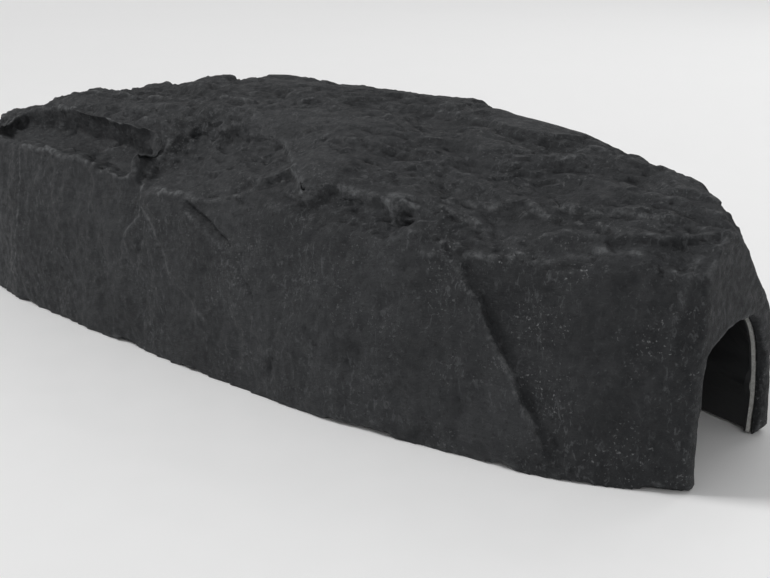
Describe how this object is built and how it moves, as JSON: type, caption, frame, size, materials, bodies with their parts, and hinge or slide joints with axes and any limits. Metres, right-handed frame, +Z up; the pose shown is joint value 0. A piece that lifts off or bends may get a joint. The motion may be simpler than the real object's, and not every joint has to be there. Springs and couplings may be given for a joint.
{
  "type": "resin cave ornament",
  "caption": "Hollow imitation-slate rock shelter for a pond or aquarium, open underneath, with an arched doorway in one end.",
  "frame": {"origin": "middle of the footprint's bounding box, on the surface the rock stands on", "axes": "+X along the rock's length towards the doorway, +Z up; the tall faceted front faces -Y"},
  "size_m": [0.6, 0.2042, 0.1662],
  "materials": {
    "face_coat": "sand-filled charcoal resin cast with a split-slate texture, matt with a faint glint on broken edges",
    "laminate": "pale glass-fibre and resin laminate, sawn edge",
    "flow_coat": "brushed dark flow coat, satin"
  },
  "bodies": {
    "root": {"rock_skin": "face_coat", "laminate_shell": "laminate", "inner_coat": "flow_coat"}
  },
  "joints": []
}
